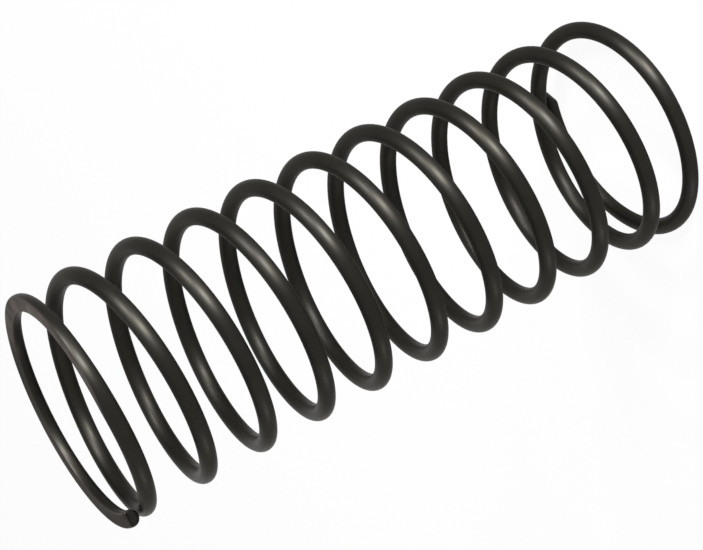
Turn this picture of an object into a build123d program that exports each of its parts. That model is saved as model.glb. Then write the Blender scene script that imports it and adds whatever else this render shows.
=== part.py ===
from build123d import *
import math
import os

# Small compression spring, cold-coiled from one length of round wire, right-hand wound,
# with both ends closed and ground flat. It stands on its lower ground face at Z = 0, and the
# axis of the coils is Z. The lower tip of the wire lies on the +X side of that axis.
# Lengths are in millimetres. Places along the wire are counted in turns, from one of its tips.

# Sizes that a spring drawing gives
wire_diameter = 1.0
outside_diameter = 14.0  # over the working coils
free_length = 38.4  # unloaded, over the two ground faces
total_turns = 11.35  # from one cut tip of the wire to the other

# End coils: each starts level, then lifts until it climbs as steeply as the working coils
lower_tip_gap = 0.28  # daylight between a tip and the coil beside it
upper_tip_gap = 0.04
lower_lift_turns = 0.7  # over which the slope grows from nothing to full
upper_lift_turns = 0.25
lower_tip_flare = 0.55  # how far a cut tip springs outwards
upper_tip_flare = 0.42
flare_turns = 0.5  # over which the flare fades out
upper_tightening = 0.25  # how much closer to the axis the upper end coil is wound
tightening_turns = 1.0  # over which the tightening fades out
ground_thickness = 0.72  # of the wire that is left where an end coil is level

arcs_per_turn = 12  # in the chain of arcs that the wire's centre line is made of

# Worked out from the sizes above
wire_radius = wire_diameter / 2
coil_radius = outside_diameter / 2 - wire_radius  # of the wire's centre line
tip_height = ground_thickness - wire_radius  # of the centre line at a tip, above its ground face
lower_rise = wire_diameter + lower_tip_gap  # of the first turn, which passes over its own tip
upper_rise = wire_diameter + upper_tip_gap
working_turns = total_turns - 2
pitch = (free_length - 2 * tip_height - lower_rise - upper_rise) / working_turns


def faded(turns, span):
    # 1 at a tip, falling to 0 after a span of turns
    return max(1 - turns / span, 0)


def end_coil_height(turns, rise, lift_turns):
    # how far the wire has lifted, some turns from a tip, when its first turn gains the rise
    level_turns = 1 - lift_turns / 2 - rise / pitch
    lifted = min(max((turns - level_turns) / lift_turns, 0), 1)
    lifting_height = lift_turns * (lifted**3 - lifted**4 / 2)  # the slope grows as a smooth step
    climbing_height = max(turns - level_turns - lift_turns, 0)
    return pitch * (lifting_height + climbing_height)


def centre_line_point(turns):
    turns_left = total_turns - turns
    if turns < turns_left:
        height = tip_height + end_coil_height(turns, lower_rise, lower_lift_turns)
    else:
        lift = end_coil_height(turns_left, upper_rise, upper_lift_turns)
        height = free_length - tip_height - lift
    tightness = faded(turns_left, tightening_turns)
    radius = (
        coil_radius
        + lower_tip_flare * faded(turns, flare_turns) ** 2
        + upper_tip_flare * faded(turns_left, flare_turns) ** 2
        - upper_tightening * tightness**2 * (3 - 2 * tightness)
    )
    angle = 2 * math.pi * turns
    return Vector(radius * math.cos(angle), radius * math.sin(angle), height)


def wire_centre_line():
    # arcs through evenly spaced points of the coil, each setting out the way the last one ended
    arc_count = round(total_turns * arcs_per_turn)
    points = [centre_line_point(total_turns * step / arc_count) for step in range(arc_count + 1)]
    closing_in = -2 * lower_tip_flare / flare_turns  # in a turn, at the lower tip
    heading = Vector(closing_in, 2 * math.pi * points[0].X, 0)
    arcs = []
    for start, end in zip(points, points[1:]):
        arc = TangentArc(start, end, tangent=heading)
        arcs.append(arc)
        heading = arc % 1
    return Wire(arcs)


def coiled_wire():
    path = wire_centre_line()
    cut_tip = Plane(origin=path @ 0, z_dir=path % 0)
    return sweep(cut_tip * Circle(wire_radius), path=path, is_frenet=True)


def ground_flat(coils):
    above_foot = split(coils, bisect_by=Plane.XY, keep=Keep.TOP)
    return split(above_foot, bisect_by=Plane.XY.offset(free_length), keep=Keep.BOTTOM)


spring = ground_flat(coiled_wire())

os.makedirs("parts", exist_ok=True)
export_step(spring, "parts/spring.step")
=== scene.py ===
import math

import bpy
import numpy as np
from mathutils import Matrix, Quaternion, Vector


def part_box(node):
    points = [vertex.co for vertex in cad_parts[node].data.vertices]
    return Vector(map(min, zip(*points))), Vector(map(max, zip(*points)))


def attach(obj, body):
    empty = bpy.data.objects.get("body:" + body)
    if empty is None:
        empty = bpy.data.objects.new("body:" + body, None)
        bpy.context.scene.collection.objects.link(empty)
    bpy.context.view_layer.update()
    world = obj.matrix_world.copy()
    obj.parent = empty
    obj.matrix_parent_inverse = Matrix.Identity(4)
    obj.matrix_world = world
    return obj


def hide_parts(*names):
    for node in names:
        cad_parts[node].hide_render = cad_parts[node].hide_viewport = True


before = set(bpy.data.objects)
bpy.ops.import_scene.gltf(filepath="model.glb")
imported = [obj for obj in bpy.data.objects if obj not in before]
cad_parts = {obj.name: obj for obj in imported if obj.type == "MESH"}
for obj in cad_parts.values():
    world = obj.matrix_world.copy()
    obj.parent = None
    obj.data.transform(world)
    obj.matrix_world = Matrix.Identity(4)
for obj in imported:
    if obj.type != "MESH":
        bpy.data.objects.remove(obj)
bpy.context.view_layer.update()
print("frame loaded")

mm = 0.001  # the sizes in the dictionaries below are in millimetres, Blender's are in metres


# small helpers that every piece uses

def linearColour(hexCode):
    # an sRGB hex colour as the linear values that Blender's sockets take
    channels = [int(hexCode[i:i + 2], 16) / 255 for i in (1, 3, 5)]
    linear = [c / 12.92 if c <= 0.04045 else ((c + 0.055) / 1.055) ** 2.4 for c in channels]
    return (*linear, 1.0)


def addNode(tree, kind, settings=None, inputs=None):
    # adds a node: settings by property name, inputs by name or number, each a value or a socket to link
    node = tree.nodes.new("ShaderNode" + kind)
    for name, value in (settings or {}).items():
        setattr(node, name, value)
    for name, value in (inputs or {}).items():
        if isinstance(value, bpy.types.NodeSocket):
            tree.links.new(value, node.inputs[name])
        else:
            node.inputs[name].default_value = value
    return node


def newMaterial(name):
    material = bpy.data.materials.new(name)
    material.use_nodes = True
    material.node_tree.nodes.clear()
    return material, material.node_tree


def smoothStep(x):
    # 3x^2 - 2x^3, held between 0 and 1
    x = np.clip(x, 0, 1)
    return x * x * (3 - 2 * x)


# the spring: one round wire, coiled, closed at both ends and ground flat

spring = {
    "wireDiameter": 1.0,
    "inset": 0.002,            # the skin stands this much inside the solid's, and so in its box
    "coilDiameter": 14.0,      # outside of the working coils
    "turns": 11.35,            # from one cut tip to the other
    "groundThickness": 0.72,   # of the wire left at a tip
    "lowerGap": 0.28,          # daylight between a tip and the coil beside it
    "upperGap": 0.04,
    "lowerLift": 0.7,          # turns over which an end coil grows as steep as the others
    "upperLift": 0.25,
    "lowerFlare": 0.55,        # how far a cut tip springs outwards
    "upperFlare": 0.42,
    "flareTurns": 0.5,
    "upperTightening": 0.25,   # how much closer the upper end coil is wound
    "tighteningTurns": 1.0,
    "edgeRadius": 0.08,        # of the edge between a ground face and the wire's skin
    "tipRadius": 0.14,         # of the edge round a cut tip, which is tumbled smooth
    "lowerShear": 48.0,        # degrees that a cut tip leans: the lower one was nipped at a slant
    "upperShear": 4.0,
    "lowerReach": 0.45,        # how far the middle of a slanted cut stands past the last whole ring
    "upperReach": 0.0,
    "slant": (0.43, 0.9),      # which way a cut leans, outwards and upwards in the wire's section
    "leanRate": 1.4,           # above 1, the lean is complete before the edge has turned all the way
    "tipCrown": 1.02,          # how far the cut face stands out, in radii of its edge
    "turnOverStart": 0.15,     # between the ends the rings turn half way round the wire: where that
    "turnOverSpan": 0.7,       # begins and how long it takes, as shares of all the turns
    "ringsPerTurn": 92,
    "runOutTurns": 0.06,       # at the end of a ground face, where the rings stand closer
    "runOutRings": 12,
    "ringSkinPoints": 42,      # round the skin of one ring
    "ringFaceSpans": 6,        # across the ground face
    "ringEdgeSpans": 4,        # round each of its edges
    "tipEdgeSpans": 6,         # round the edge of a cut tip
    "tipFaceShares": (0.5, 0.35, 0.18),  # size of the rings inside a cut face
    "tipRowLength": 0.02,      # counted as the length of each of those rings, for the patterns
}
lowest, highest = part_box("spring")
spring["freeLength"] = (highest.z - lowest.z) / mm


def coilPlace(turns):
    # centre line of the wire, as a place for each number of turns from the lower tip:
    # height = the climb of one helix, eased to level at both ends by the integral of a smooth step;
    # radius = the working radius, plus a flare that falls off as a square, less a smooth tightening
    s = spring
    wireRadius = s["wireDiameter"] / 2
    tipHeight = s["groundThickness"] - wireRadius
    rises = [s["wireDiameter"] + s[gap] for gap in ("lowerGap", "upperGap")]
    pitch = (s["freeLength"] - 2 * tipHeight - sum(rises)) / (s["turns"] - 2)

    def climb(fromTip, rise, lift):
        level = 1 - lift / 2 - rise / pitch
        lifted = np.clip((fromTip - level) / lift, 0, 1)
        return pitch * (lift * (lifted**3 - lifted**4 / 2) + np.maximum(fromTip - level - lift, 0))

    def faded(fromTip, span):
        return np.maximum(1 - fromTip / span, 0)

    left = s["turns"] - turns
    height = np.where(
        turns < left,
        tipHeight + climb(turns, rises[0], s["lowerLift"]),
        s["freeLength"] - tipHeight - climb(left, rises[1], s["upperLift"]),
    )
    radius = (
        s["coilDiameter"] / 2 - wireRadius
        + s["lowerFlare"] * faded(turns, s["flareTurns"]) ** 2
        + s["upperFlare"] * faded(left, s["flareTurns"]) ** 2
        - s["upperTightening"] * smoothStep(faded(left, s["tighteningTurns"]))
    )
    angle = 2 * math.pi * turns
    return np.stack([radius * np.cos(angle), radius * np.sin(angle), height], -1)


def ringTurns(setBack):
    # where the rings stand, in turns from the lower tip: even steps, and closer ones where a ground
    # face runs out into whole wire. Its width falls to nothing as a root does, so the steps there
    # grow as a square, and the face ends in a rounded point.
    s = spring
    radius = s["wireDiameter"] / 2 - s["inset"]
    turns = np.linspace(setBack, s["turns"] - setBack, round(s["turns"] * s["ringsPerTurn"]))
    steps = s["runOutTurns"] * np.linspace(0, 1, s["runOutRings"]) ** 2
    margin = 0.5 / s["ringsPerTurn"]  # half an even step, kept free at both sides of the closer ones
    fromTip = np.linspace(0, 1, 4001)  # fine steps over the end coil, to find where its face ends
    lowerHeights = coilPlace(fromTip)[:, 2]
    upperHeights = s["freeLength"] - coilPlace(s["turns"] - fromTip)[:, 2]
    lowerEnd = fromTip[np.argmax(lowerHeights > radius)]
    upperEnd = fromTip[np.argmax(upperHeights > radius)]
    for close in (lowerEnd - steps, s["turns"] - upperEnd + steps):
        kept = turns[(turns < close.min() - margin) | (turns > close.max() + margin)]
        turns = np.sort(np.concatenate([kept, close]))
    return turns


def groundRings(turns):
    # one closed ring of points for each place along the wire. The ring is a circle whose slice beyond
    # the ground plane is gone: the circle and the plane are both drawn in by the edge radius, and the
    # outline runs at that radius outside what they enclose, so the edge between them is a small arc.
    s = spring
    radius, edge = s["wireDiameter"] / 2 - s["inset"], s["edgeRadius"]
    step = 1e-4  # in turns, for the direction of the wire
    centre = coilPlace(turns)
    along = coilPlace(turns + step) - coilPlace(turns - step)
    along /= np.linalg.norm(along, axis=1, keepdims=True)
    outward = np.cross(along, (0, 0, 1))
    outward /= np.linalg.norm(outward, axis=1, keepdims=True)
    upward = np.cross(outward, along)

    # distance from the centre line to the nearer ground plane, in the plane of the ring
    depth = np.minimum(centre[:, 2], s["freeLength"] - centre[:, 2]) / upward[:, 2]
    corner = np.arccos(np.clip((depth - edge) / (radius - edge), -1, 1))  # where the face's edge starts
    least = math.radians(4)  # half the arc of the narrowest face that is still shaped as one
    start = np.maximum(corner, least)[:, None]
    ground = smoothStep((corner - least) / least)  # 0 on whole wire, 1 where it is ground

    # round the skin: an even arc from one edge to the other, the long way
    share = np.linspace(0, 1, s["ringSkinPoints"])
    gap = math.radians(2.5)  # between the zone of the ground face and the first point of the skin
    first = start + gap
    skinAngle = first + (2 * math.pi - 2 * first) * share
    skinA, skinB = radius * np.sin(skinAngle), -radius * np.cos(skinAngle)

    # across the zone of the ground face: edge arc, face, edge arc
    spans, faceSpans = s["ringEdgeSpans"], s["ringFaceSpans"]
    edgeShare = np.arange(spans + 1) / spans
    support = 0.04  # the first points of the face stand close to its edges
    faceShare = np.concatenate([[support], np.arange(1, faceSpans) / faceSpans, [1 - support]])
    cornerA = (radius - edge) * np.sin(start)
    cornerB = -(radius - edge) * np.cos(start)
    turn = start * (1 - edgeShare)
    arcA, arcB = edge * np.sin(turn), -edge * np.cos(turn)
    zoneA = np.concatenate([-cornerA - arcA, -cornerA + 2 * cornerA * faceShare,
                            (cornerA + arcA)[:, ::-1]], 1)
    zoneB = np.concatenate([cornerB + arcB, cornerB - edge + 0 * faceShare,
                            (cornerB + arcB)[:, ::-1]], 1)
    zonePoints = zoneA.shape[1]
    plain = start * np.linspace(-1, 1, zonePoints)
    mix = ground[:, None]
    zoneA = zoneA * mix + radius * np.sin(plain) * (1 - mix)
    zoneB = zoneB * mix - radius * np.cos(plain) * (1 - mix)

    # the ring starts at the zone, which looks down at the lower end and is turned up by the upper one
    a, b = np.concatenate([zoneA, skinA], 1), np.concatenate([zoneB, skinB], 1)
    turnedOver = smoothStep((turns / s["turns"] - s["turnOverStart"]) / s["turnOverSpan"])
    halfTurn = math.pi * turnedOver[:, None]
    section = np.stack([a * np.cos(halfTurn) - b * np.sin(halfTurn),
                        a * np.sin(halfTurn) + b * np.cos(halfTurn)], -1)
    points = centre[:, None] + section[..., :1] * outward[:, None] + section[..., 1:] * upward[:, None]
    length = np.concatenate([[0], np.cumsum(np.linalg.norm(np.diff(centre, axis=0), axis=1))])
    return {"points": points, "section": section, "length": length, "along": along,
            "outward": outward, "upward": upward, "ground": ground, "zonePoints": zonePoints}


def tipRings(rings, last, end):
    # a cut tip, as the last whole ring again and again: round the edge it is drawn in by a cosine and
    # stands out by a sine, then it shrinks across the face to a pole. A slanted cut also pushes each
    # point out of the wire by the tangent of its angle times how far up and out the point lies.
    s = spring
    radius, edge = s["wireDiameter"] / 2 - s["inset"], s["tipRadius"]
    section, ring = rings["section"][last], rings["points"][last]
    acrossWire = np.stack([rings["outward"][last], rings["upward"][last]])
    outOfWire = rings["along"][last] * (1 if end == "upper" else -1)
    middle = (section.min(0) + section.max(0)) / 2
    lean = math.tan(math.radians(s[end + "Shear"])) * np.array(s["slant"])
    reach, crown = s[end + "Reach"], edge * s["tipCrown"]

    bend = math.pi / 2 * np.arange(1, s["tipEdgeSpans"] + 1) / s["tipEdgeSpans"]
    keep = np.concatenate([1 - edge * (1 - np.cos(bend)) / radius, s["tipFaceShares"]])
    push = np.concatenate([edge * np.sin(bend), np.full(len(s["tipFaceShares"]), crown)])
    leaning = np.minimum(1, s["leanRate"] * push / edge)
    shrunk = (section - middle) * keep[:, None, None] + middle
    forward = push[:, None] + leaning[:, None] * (shrunk @ lean + reach)
    points = ring + (shrunk - section) @ acrossWire + forward[..., None] * outOfWire
    pole = ring[0] + (middle - section[0]) @ acrossWire + (crown + middle @ lean + reach) * outOfWire
    return points, shrunk, pole, middle


def springRows():
    # every ring from tip to tip, with the poles that close both tips
    s = spring
    rings = groundRings(ringTurns(s["tipRadius"] / (math.pi * s["coilDiameter"])))
    lowerPoints, lowerSection, lowerPole, lowerMiddle = tipRings(rings, 0, "lower")
    upperPoints, upperSection, upperPole, upperMiddle = tipRings(rings, -1, "upper")
    tipRows = len(lowerPoints)
    tipLength = s["tipRowLength"] * np.arange(1, tipRows + 1)
    length = rings["length"]
    return {
        "points": np.concatenate([lowerPoints[::-1], rings["points"], upperPoints]),
        "section": np.concatenate([lowerSection[::-1], rings["section"], upperSection]),
        "length": np.concatenate([length[0] - tipLength[::-1], length, length[-1] + tipLength]),
        "ground": np.concatenate([np.ones(tipRows), rings["ground"], np.ones(tipRows)]),
        "poles": np.stack([lowerPole, upperPole]),
        "poleSections": np.stack([lowerMiddle, upperMiddle]),
        "zonePoints": rings["zonePoints"],
        "tipRows": tipRows,
    }


def buildSpring():
    s = spring
    rows = springRows()
    rowCount, ringPoints = rows["points"].shape[:2]
    zonePoints, tipRows, ground = rows["zonePoints"], rows["tipRows"], rows["ground"]

    # faces, turned outwards: a quad between each two rings and points, and a fan of triangles
    # round each pole
    i, j = np.meshgrid(np.arange(rowCount - 1), np.arange(ringPoints), indexing="ij")
    nextJ = (j + 1) % ringPoints
    quads = np.stack([i * ringPoints + j, (i + 1) * ringPoints + j,
                      (i + 1) * ringPoints + nextJ, i * ringPoints + nextJ], -1).reshape(-1, 4)
    column = np.arange(ringPoints)
    nextColumn = (column + 1) % ringPoints
    lastRow = (rowCount - 1) * ringPoints
    lowerPole, upperPole = rowCount * ringPoints, rowCount * ringPoints + 1
    fans = np.concatenate([
        np.stack([column, nextColumn, np.full_like(column, lowerPole)], -1),
        np.stack([lastRow + nextColumn, lastRow + column, np.full_like(column, upperPole)], -1),
    ])
    vertices = np.concatenate([rows["points"].reshape(-1, 3), rows["poles"]])
    vertices = np.clip(vertices, np.array(lowest) / mm, np.array(highest) / mm)
    mesh = bpy.data.meshes.new("springWire")
    mesh.from_pydata((vertices * mm).tolist(), [], quads.tolist() + fans.tolist())

    # which finish each face has: 0 the wire's skin, 1 a ground face, 2 a cut tip, which takes the
    # inner half of its rounded edge too
    onFace = (j >= s["ringEdgeSpans"]) & (j < zonePoints - 1 - s["ringEdgeSpans"])
    finish = np.where(onFace & (np.minimum(ground[i], ground[i + 1]) > 0.5), 1, 0)
    cutRows = len(s["tipFaceShares"]) + s["tipEdgeSpans"] // 2
    finish[(i < cutRows - 1) | (i >= rowCount - cutRows)] = 2
    finish = np.concatenate([finish.ravel(), np.full(len(fans), 2)])
    mesh.polygons.foreach_set("material_index", finish.astype(np.int32))
    mesh.polygons.foreach_set("use_smooth", np.ones(len(mesh.polygons), bool))

    # UV: u runs along the wire and v round it, both in millimetres, for the direction of the drawing
    length, section = rows["length"], rows["section"]
    ringAngle = np.unwrap(np.arctan2(section[..., 1], section[..., 0]), axis=1)
    ringAngle = np.concatenate([ringAngle, ringAngle[:, :1] + 2 * math.pi], 1)
    roundWire = ringAngle * (s["wireDiameter"] / 2 - s["inset"])
    u = np.stack([length[i], length[i + 1], length[i + 1], length[i]], -1)
    v = np.stack([roundWire[i, j], roundWire[i + 1, j], roundWire[i + 1, j + 1], roundWire[i, j + 1]], -1)
    quadUv = np.stack([u, v], -1).reshape(-1, 2)
    fanUv = np.zeros((len(fans) * 3, 2))
    uvLayer = mesh.uv_layers.new(name="wireUv")
    uvLayer.data.foreach_set("uv", np.concatenate([quadUv, fanUv]).astype(np.float32).ravel())

    # a place in the wire itself: millimetres along it, and across and up in its cross-section
    place = np.concatenate([np.repeat(length, ringPoints)[:, None], section.reshape(-1, 2)], 1)
    polePlaces = np.concatenate([length[[0, -1], None], rows["poleSections"]], 1)
    place = np.concatenate([place, polePlaces])
    mesh.attributes.new("wirePlace", "FLOAT_VECTOR", "POINT")
    mesh.attributes["wirePlace"].data.foreach_set("vector", place.astype(np.float32).ravel())

    # 1 on the edges of the ground faces and of the cut tips, where the black is rubbed through
    besideFace = zonePoints - 1 - s["ringEdgeSpans"]
    nearEdge = (column <= s["ringEdgeSpans"]) | ((column >= besideFace) & (column < zonePoints))
    worn = ground[:, None] * nearEdge
    worn[:tipRows] = worn[-tipRows:] = 0
    rubbed = np.arange(cutRows - 2, cutRows + 1)
    worn[rubbed] = worn[rowCount - 1 - rubbed] = 1
    worn = np.concatenate([worn.ravel(), [0, 0]])
    mesh.attributes.new("wornEdge", "FLOAT", "POINT")
    mesh.attributes["wornEdge"].data.foreach_set("value", worn.astype(np.float32))
    mesh.update()
    mesh.validate()
    piece = bpy.data.objects.new("spring_wire", mesh)
    bpy.context.scene.collection.objects.link(piece)
    return piece


springPiece = buildSpring()
print("spring wire built:", len(springPiece.data.polygons), "faces")


# finishes

skin = {
    "black": "#2b2a27",        # the oxide film on clean steel
    "brown": "#2f2d29",        # where the film is thin or holds oil
    "worn": "#5b5651",         # steel showing through
    "roughness": (0.4, 0.48),  # on the smoothest and on the roughest of the drawn lines
    "anisotropy": 0.65,
    "edgeTint": "#d6d4d2",     # at a grazing look the film goes on absorbing a little
    "dieLineSpacing": 0.09,    # across the wire; real ones are nearer 0.03, too fine to show
    "dieLineWaves": 0.12,      # along the wire, per mm, so each line runs on for long
    "dieLineDepth": 0.003,
    "patchSize": 1.6,          # of the thin and oily places in the film
    "speckSize": 0.1,          # of the fine grain of the oxide
    "speckDepth": 0.0015,
    "edgeWear": 0.25,          # how much steel shows on the rubbed edges, and in the flecks
    "fleckWear": 0.12,
}


def finishSkin():
    # cold-drawn spring wire, coiled and then heat blackened: a thin dark oxide over metal, so a
    # deep grey metal with a warm cast. The die leaves fine lines along the wire, and they spread
    # each highlight round the wire and keep it short along it.
    material, tree = newMaterial("blackenedDrawnSpringWire")
    s = skin
    place = addNode(tree, "Attribute", {"attribute_name": "wirePlace"}).outputs["Vector"]
    worn = addNode(tree, "Attribute", {"attribute_name": "wornEdge"}).outputs["Fac"]
    objectPlace = addNode(tree, "TexCoord").outputs["Object"]

    across = 1 / s["dieLineSpacing"]
    lines = addNode(tree, "Mapping", {}, {
        "Vector": place, "Scale": (s["dieLineWaves"], across, across)}).outputs[0]
    lines = addNode(tree, "TexNoise", {}, {"Vector": lines, "Scale": 1.0, "Detail": 3.0,
                                           "Roughness": 0.6}).outputs[0]
    patches = addNode(tree, "TexNoise", {}, {"Vector": objectPlace, "Scale": 1 / (s["patchSize"] * mm),
                                             "Detail": 4.0, "Roughness": 0.55}).outputs[0]
    specks = addNode(tree, "TexNoise", {}, {"Vector": objectPlace, "Scale": 1 / (s["speckSize"] * mm),
                                            "Detail": 2.0}).outputs[0]

    brownShare = addNode(tree, "MapRange", {}, {"Value": patches, "From Min": 0.42,
                                                "From Max": 0.68}).outputs[0]
    oxide = addNode(tree, "Mix", {"data_type": "RGBA"}, {
        0: brownShare, 6: linearColour(s["black"]), 7: linearColour(s["brown"])}).outputs[2]

    # steel shows through on the sharpest edges and in small flecks
    fleck = addNode(tree, "MapRange", {}, {"Value": specks, "From Min": 0.66, "From Max": 0.8,
                                           "To Max": s["fleckWear"]}).outputs[0]
    edge = addNode(tree, "Math", {"operation": "MULTIPLY"}, {0: worn, 1: s["edgeWear"]}).outputs[0]
    bare = addNode(tree, "Math", {"operation": "MAXIMUM"}, {0: edge, 1: fleck}).outputs[0]
    colour = addNode(tree, "Mix", {"data_type": "RGBA"}, {
        0: bare, 6: oxide, 7: linearColour(s["worn"])}).outputs[2]

    rough = addNode(tree, "MapRange", {}, {
        "Value": lines, "From Min": 0.3, "From Max": 0.7,
        "To Min": s["roughness"][0], "To Max": s["roughness"][1]}).outputs[0]
    bump = addNode(tree, "Bump", {}, {"Height": lines, "Strength": 0.35,
                                      "Distance": s["dieLineDepth"] * mm}).outputs[0]
    bump = addNode(tree, "Bump", {}, {"Height": specks, "Normal": bump, "Strength": 0.25,
                                      "Distance": s["speckDepth"] * mm}).outputs[0]
    alongWire = addNode(tree, "Tangent", {"direction_type": "UV_MAP", "uv_map": "wireUv"}).outputs[0]
    shader = addNode(tree, "BsdfPrincipled", {}, {
        "Base Color": colour, "Metallic": 1.0, "Roughness": rough, "Normal": bump,
        "Anisotropic": s["anisotropy"], "Anisotropic Rotation": 0.25, "Tangent": alongWire,
        "Specular Tint": linearColour(s["edgeTint"])}).outputs[0]
    addNode(tree, "OutputMaterial", {}, {"Surface": shader})
    return material


groundFace = {
    "dark": "#1c1b1a",         # where the blacking took well, and the painted shade across the face
    "light": "#766d68",        # where the ground steel shows through it, and the painted light on the face's -Y side
    "edgeTint": "#bdbbb9",     # it darkens a grazing look more than the skin's film does
    "roughness": (0.35, 0.5),
    "scratchSpacing": 0.05,    # a 60-grit wheel leaves about this
    "scratchLength": 2.5,
    "scratchDepth": 0.004,
    "scratchAngle": 24.0,      # degrees
    "stainSize": 1.4,
    "paintedLightAt": 5.5,           # painted light: mm from the middle along Y where the face is palest, on both sides
    "paintedShadeMiddle": 0.06,       # painted shade: how pale the middle is beside them
    "paintedShadeFarSide": 0.28,      # painted shade: how pale the +Y side, away from the main lamps, gets beside the -Y side
    "paintedShadeFrom": -2.0,       # mm along Y, where that painted shade begins and where it is complete
    "paintedShadeTo": 3.0,
}


def finishGroundFace():
    # wheel-ground steel, blackened with the rest: flatter and paler than the skin, with painted light
    # towards -Y and painted shade in its middle and towards +Y, and it carries the straight scratches
    # that the grit leaves across both ends
    material, tree = newMaterial("groundBlackenedSteel")
    s = groundFace
    place = addNode(tree, "TexCoord").outputs["Object"]
    length, spacing = 1 / (s["scratchLength"] * mm), 1 / (s["scratchSpacing"] * mm)
    turned = addNode(tree, "Mapping", {}, {
        "Vector": place, "Rotation": (0, 0, math.radians(s["scratchAngle"]))}).outputs[0]
    turned = addNode(tree, "Mapping", {}, {"Vector": turned, "Scale": (length, spacing, length)}).outputs[0]
    scratches = addNode(tree, "TexNoise", {}, {"Vector": turned, "Scale": 1.0, "Detail": 3.0,
                                               "Roughness": 0.65}).outputs[0]
    stains = addNode(tree, "TexNoise", {}, {"Vector": place, "Scale": 1 / (s["stainSize"] * mm),
                                            "Detail": 3.0}).outputs[0]
    # painted light and shade: paler towards -Y, on the side of the main lamps, darker in the middle and
    # towards +Y
    alongY = addNode(tree, "SeparateXYZ", {}, {0: place}).outputs["Y"]
    offMiddle = addNode(tree, "Math", {"operation": "ABSOLUTE"}, {0: alongY}).outputs[0]
    pale = addNode(tree, "MapRange", {"interpolation_type": "SMOOTHSTEP"}, {
        "Value": offMiddle, "From Max": s["paintedLightAt"] * mm,
        "To Min": s["paintedShadeMiddle"]}).outputs[0]
    side = addNode(tree, "MapRange", {}, {
        "Value": alongY, "From Min": s["paintedShadeFrom"] * mm, "From Max": s["paintedShadeTo"] * mm,
        "To Min": 1.0, "To Max": s["paintedShadeFarSide"]}).outputs[0]
    pale = addNode(tree, "Math", {"operation": "MULTIPLY"}, {0: pale, 1: side}).outputs[0]
    share = addNode(tree, "Math", {"operation": "MULTIPLY"}, {0: scratches, 1: stains}).outputs[0]
    share = addNode(tree, "MapRange", {}, {"Value": share, "From Min": 0.06, "From Max": 0.42}).outputs[0]
    share = addNode(tree, "Math", {"operation": "MULTIPLY"}, {0: share, 1: pale}).outputs[0]
    colour = addNode(tree, "Mix", {"data_type": "RGBA"}, {
        0: share, 6: linearColour(s["dark"]), 7: linearColour(s["light"])}).outputs[2]
    rough = addNode(tree, "MapRange", {}, {
        "Value": scratches, "From Min": 0.3, "From Max": 0.7,
        "To Min": s["roughness"][0], "To Max": s["roughness"][1]}).outputs[0]
    bump = addNode(tree, "Bump", {}, {"Height": scratches, "Strength": 0.6,
                                      "Distance": s["scratchDepth"] * mm}).outputs[0]
    shader = addNode(tree, "BsdfPrincipled", {}, {
        "Base Color": colour, "Metallic": 1.0, "Roughness": rough, "Normal": bump,
        "Specular Tint": linearColour(s["edgeTint"])}).outputs[0]
    addNode(tree, "OutputMaterial", {}, {"Surface": shader})
    return material


cutTip = {
    "smooth": "#211f1d",       # rubbed by the blade, and darker than the skin as painted shade on the tip's end
    "torn": "#131211",
    "roughness": (0.45, 0.75),  # of the smooth part and of the torn part
    "tornFrom": 0.1,           # mm up the wire's section, where the tear begins and where it is full
    "tornTo": 0.3,
    "tearWander": 0.35,        # how far the grain moves that line
    "grain": 0.07,             # mm, the size of the torn crystals
    "grainDepth": 0.012,
}


def finishCutTip():
    # sheared wire: part of the face is rubbed smooth by the blade and the rest is torn, so it is dull
    # and grainy; both parts are coloured darker than the skin as painted shade on the tip's end
    material, tree = newMaterial("shearedWireEndPaintedShade")
    s = cutTip
    place = addNode(tree, "Attribute", {"attribute_name": "wirePlace"}).outputs["Vector"]
    grain = addNode(tree, "TexNoise", {}, {"Vector": place, "Scale": 1 / s["grain"],
                                           "Detail": 3.0}).outputs[0]
    high = addNode(tree, "SeparateXYZ", {}, {0: place}).outputs["Z"]
    torn = addNode(tree, "Math", {"operation": "MULTIPLY_ADD"}, {
        0: grain, 1: s["tearWander"], 2: high}).outputs[0]
    torn = addNode(tree, "MapRange", {}, {
        "Value": torn, "From Min": s["tornFrom"], "From Max": s["tornTo"]}).outputs[0]
    colour = addNode(tree, "Mix", {"data_type": "RGBA"}, {
        0: torn, 6: linearColour(s["smooth"]), 7: linearColour(s["torn"])}).outputs[2]
    rough = addNode(tree, "MapRange", {}, {
        "Value": torn, "To Min": s["roughness"][0], "To Max": s["roughness"][1]}).outputs[0]
    bump = addNode(tree, "Bump", {}, {"Height": grain, "Strength": 0.7,
                                      "Distance": s["grainDepth"] * mm}).outputs[0]
    shader = addNode(tree, "BsdfPrincipled", {}, {
        "Base Color": colour, "Metallic": 1.0, "Roughness": rough, "Normal": bump}).outputs[0]
    addNode(tree, "OutputMaterial", {}, {"Surface": shader})
    return material


for finishMaterial in (finishSkin(), finishGroundFace(), finishCutTip()):
    springPiece.data.materials.append(finishMaterial)
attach(springPiece, "root")
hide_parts("spring")
print("finishes made")


# studio: a pale floor, a low soft main lamp, a weaker one higher up, a faint one on the far side,
# and a pale world

springMiddle = (lowest + highest) / 2
springMiddle.x = springMiddle.y = 0

studio = {
    "floorSize": 4000.0,
    "floorColour": "#fafafa",
    "whiteShare": 0.94,        # how much of the floor's look is plain white, and not its own shading
    "worldColour": "#ffffff",
    "worldStrength": 0.25,     # of its light; to the eye and in the metal it is plain white
}
lamps = {
    # place round the spring in degrees and millimetres, size of the lit square, power in watts
    "main": {"azimuth": 242.0, "elevation": 10.0, "distance": 350.0, "size": 60.0, "power": 2.35},
    "upper": {"azimuth": 268.0, "elevation": 32.0, "distance": 350.0, "size": 60.0, "power": 1.05},
    "side": {"azimuth": 120.0, "elevation": 5.0, "distance": 350.0, "size": 50.0, "power": 0.14},
}


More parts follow.
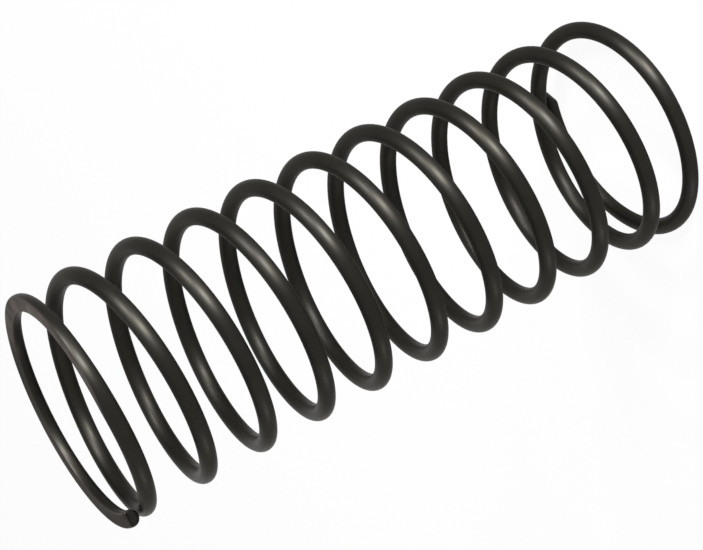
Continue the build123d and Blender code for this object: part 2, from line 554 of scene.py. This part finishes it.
def seenRays(tree):
    # 1 for the rays that show a background: straight to the eye, mirrored, or through glass
    path = addNode(tree, "LightPath").outputs
    share = addNode(tree, "Math", {"operation": "MAXIMUM"}, {
        0: path["Is Camera Ray"], 1: path["Is Glossy Ray"]}).outputs[0]
    return addNode(tree, "Math", {"operation": "MAXIMUM"}, {
        0: share, 1: path["Is Transmission Ray"]}).outputs[0]


def buildFloor():
    # white background paper: plain white to the eye and in the metal, with a trace of its own shading
    half = studio["floorSize"] / 2 * mm
    mesh = bpy.data.meshes.new("floor")
    mesh.from_pydata([(-half, -half, 0), (half, -half, 0), (half, half, 0), (-half, half, 0)], [],
                     [(0, 1, 2, 3)])
    floor = bpy.data.objects.new("floor", mesh)
    bpy.context.scene.collection.objects.link(floor)
    material, tree = newMaterial("paleStudioPaper")
    seen = addNode(tree, "Math", {"operation": "MULTIPLY"}, {
        0: seenRays(tree), 1: studio["whiteShare"]}).outputs[0]
    paper = addNode(tree, "BsdfDiffuse", {}, {"Color": linearColour(studio["floorColour"])}).outputs[0]
    white = addNode(tree, "Emission", {}, {"Color": linearColour("#ffffff"), "Strength": 1.0}).outputs[0]
    look = addNode(tree, "MixShader", {}, {0: seen, 1: paper, 2: white}).outputs[0]
    addNode(tree, "OutputMaterial", {}, {"Surface": look})
    mesh.materials.append(material)


def buildWorld():
    world = bpy.data.worlds.new("studioWorld")
    world.use_nodes = True
    tree = world.node_tree
    tree.nodes.clear()
    strength = addNode(tree, "MapRange", {}, {
        "Value": seenRays(tree), "To Min": studio["worldStrength"], "To Max": 1.0}).outputs[0]
    light = addNode(tree, "Background", {}, {
        "Color": linearColour(studio["worldColour"]), "Strength": strength}).outputs[0]
    addNode(tree, "OutputWorld", {}, {"Surface": light})
    bpy.context.scene.world = world


def around(azimuth, elevation, distance):
    # a direction and distance from the middle of the spring, as a place
    a, e = math.radians(azimuth), math.radians(elevation)
    away = Vector((math.cos(e) * math.cos(a), math.cos(e) * math.sin(a), math.sin(e)))
    return springMiddle + away * distance * mm


def buildLamp(name, lamp):
    light = bpy.data.lights.new(name, "AREA")
    light.shape = "SQUARE"
    light.size = lamp["size"] * mm
    light.energy = lamp["power"]
    holder = bpy.data.objects.new(name, light)
    holder.location = around(lamp["azimuth"], lamp["elevation"], lamp["distance"])
    holder.rotation_mode = "QUATERNION"
    holder.rotation_quaternion = (springMiddle - holder.location).to_track_quat("-Z", "Y")
    bpy.context.scene.collection.objects.link(holder)


buildFloor()
buildWorld()
for lampName, lamp in lamps.items():
    buildLamp(lampName, lamp)
print("studio set")


# camera

view = {
    "azimuth": 209.215,        # where it stands round the spring, degrees
    "elevation": 22.409,
    "distance": 123.949,
    "aim": (0.0365, 0.5964, 20.0046),  # the place it looks at
    "roll": -117.355,          # turned about its own line of sight
    "lens": 111.285,
}


def buildCamera():
    camera = bpy.data.cameras.new("camera")
    camera.sensor_width = 36
    camera.lens = view["lens"]
    camera.clip_start, camera.clip_end = 5 * mm, 10000 * mm
    holder = bpy.data.objects.new("camera", camera)
    holder.location = around(view["azimuth"], view["elevation"], view["distance"])
    upright = (Vector(view["aim"]) * mm - holder.location).to_track_quat("-Z", "Y")
    holder.rotation_mode = "QUATERNION"
    holder.rotation_quaternion = upright @ Quaternion((0, 0, 1), math.radians(view["roll"]))
    bpy.context.scene.collection.objects.link(holder)
    bpy.context.scene.camera = holder


buildCamera()
bpy.context.scene.view_settings.view_transform = "Standard"
print("camera set")
